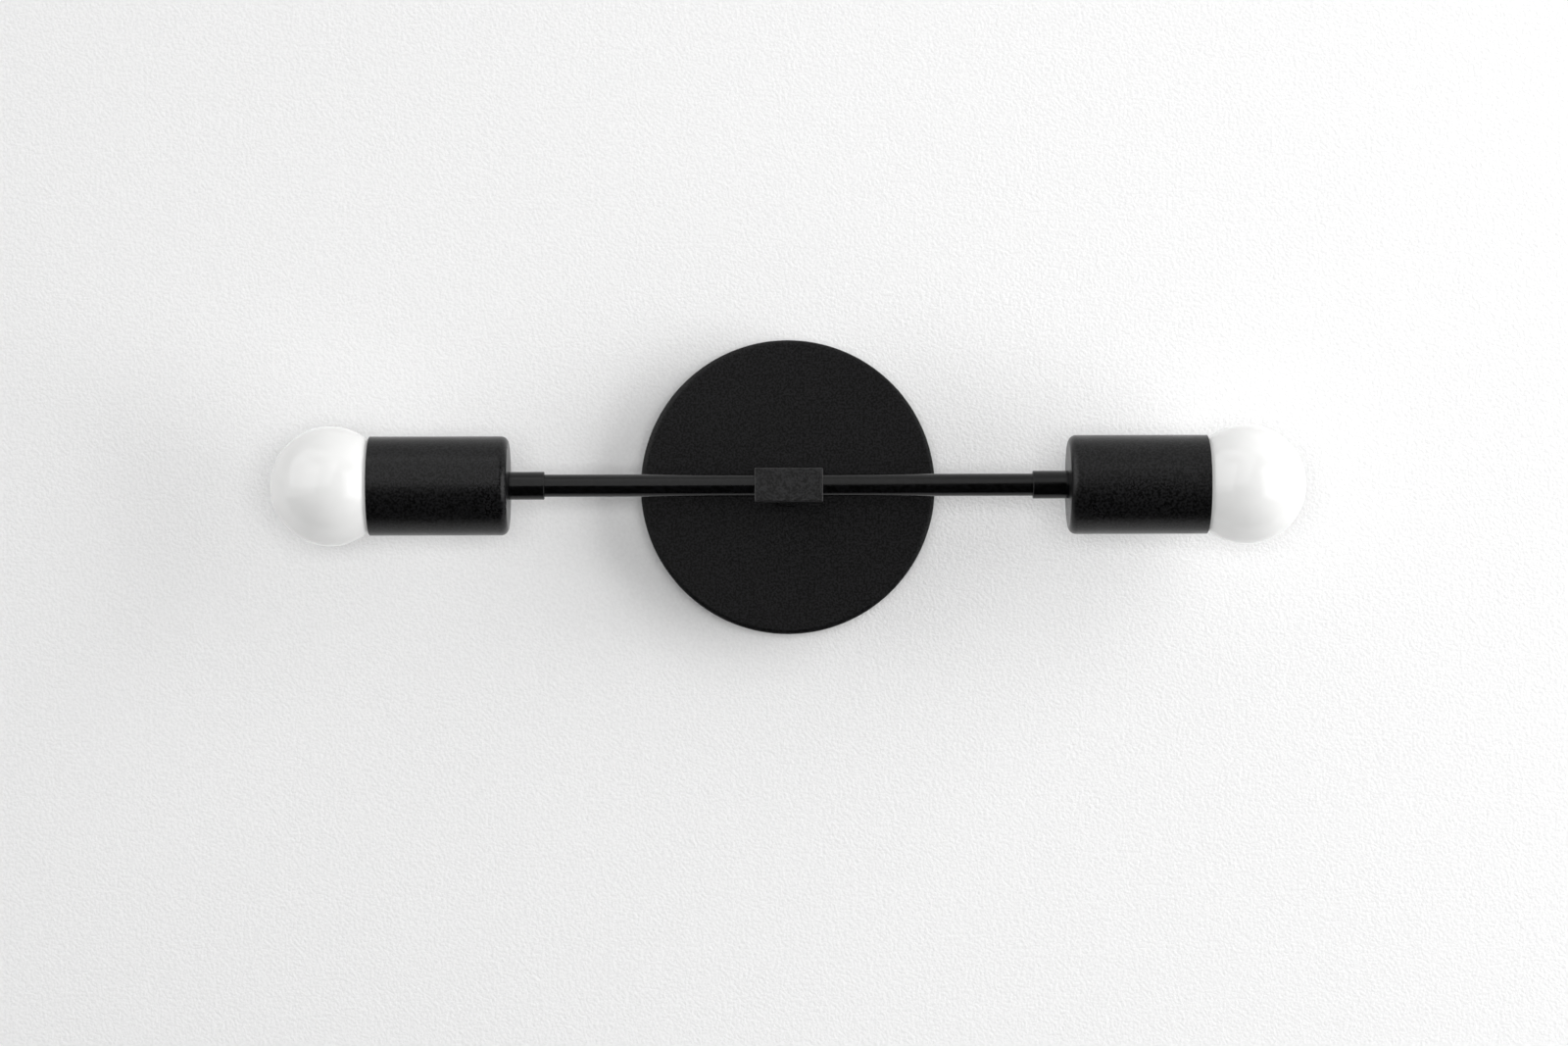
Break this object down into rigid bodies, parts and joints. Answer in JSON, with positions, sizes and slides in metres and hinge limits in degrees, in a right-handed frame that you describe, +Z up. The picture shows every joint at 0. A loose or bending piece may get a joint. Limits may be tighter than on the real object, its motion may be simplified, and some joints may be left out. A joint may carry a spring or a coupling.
{
  "type": "wall light",
  "caption": "Straight two-arm wall light: round canopy, short stem, thin arms and cylindrical cups holding opal globe bulbs that unscrew.",
  "frame": {"origin": "centre of the outlet box screw slots, on the wall plane behind the canopy", "axes": "+X along the right-hand arm as seen from the front, +Y into the wall, +Z up"},
  "size_m": [0.4388, 0.0764, 0.127],
  "materials": {
    "matte_black": "matte black powder coat",
    "satin_black": "satin black powder coat",
    "zinc_steel": "zinc plated steel",
    "green_screw": "green passivated steel",
    "porcelain": "glazed",
    "shell_metal": "rolled sheet",
    "contact_brass": "bright",
    "black_insulation": "smooth insulation",
    "white_insulation": "smooth insulation",
    "opal_glass": "glossy white opal glass",
    "cap_metal": "rolled sheet, nickel coloured",
    "black_glass": "glossy",
    "solder": "tin solder",
    "clear_glass": "clear",
    "filament_metal": "drawn wire"
  },
  "bodies": {
    "fixture": {"canopy": "matte_black", "crossbar": "zinc_steel", "side_screws": "satin_black", "earth_screw": "green_screw", "stem_pipe": "zinc_steel", "check_ring": "matte_black", "stem_sleeve": "satin_black", "lock_washer": "zinc_steel", "pipe_nuts": "zinc_steel", "arm_block": "matte_black", "socket_screws": "zinc_steel", "left_arm": "satin_black", "left_coupling": "satin_black", "left_cup_pipe": "zinc_steel", "left_cup": "matte_black", "left_socket_strap": "zinc_steel", "left_socket_body": "porcelain", "left_screw_shell": "shell_metal", "left_centre_contact": "contact_brass", "left_live_lead": "black_insulation", "left_neutral_lead": "white_insulation", "right_arm": "satin_black", "right_coupling": "satin_black", "right_cup_pipe": "zinc_steel", "right_cup": "matte_black", "right_socket_strap": "zinc_steel", "right_socket_body": "porcelain", "right_screw_shell": "shell_metal", "right_centre_contact": "contact_brass", "right_live_lead": "black_insulation", "right_neutral_lead": "white_insulation"},
    "left_bulb_carrier": {"left_bulb_tip": "solder"},
    "left_bulb": {"left_bulb_globe": "opal_glass", "left_bulb_cap": "cap_metal", "left_bulb_insulator": "black_glass", "left_bulb_stem": "clear_glass", "left_bulb_filament": "filament_metal"},
    "right_bulb_carrier": {"right_bulb_tip": "solder"},
    "right_bulb": {"right_bulb_globe": "opal_glass", "right_bulb_cap": "cap_metal", "right_bulb_insulator": "black_glass", "right_bulb_stem": "clear_glass", "right_bulb_filament": "filament_metal"}
  },
  "joints": [
    {"name": "left_bulb_travel", "type": "slide", "parent": "fixture", "child": "left_bulb_carrier", "axis": [-1, 0, 0], "range_m": [0, 0.01452]},
    {"name": "left_bulb_turn", "type": "hinge", "parent": "left_bulb_carrier", "child": "left_bulb", "pos_m": [-0.194, -0.051, 0], "axis": [-1, 0, 0], "range_deg": [0, 1440]},
    {"name": "right_bulb_travel", "type": "slide", "parent": "fixture", "child": "right_bulb_carrier", "axis": [1, 0, 0], "range_m": [0, 0.01452]},
    {"name": "right_bulb_turn", "type": "hinge", "parent": "right_bulb_carrier", "child": "right_bulb", "pos_m": [0.194, -0.051, 0], "axis": [1, 0, 0], "range_deg": [0, 1440]}
  ],
  "couplings": [
    {"joint": "left_bulb_travel", "follows": "left_bulb_turn", "m_per_rad": 0.0005775},
    {"joint": "right_bulb_travel", "follows": "right_bulb_turn", "m_per_rad": 0.0005775}
  ]
}
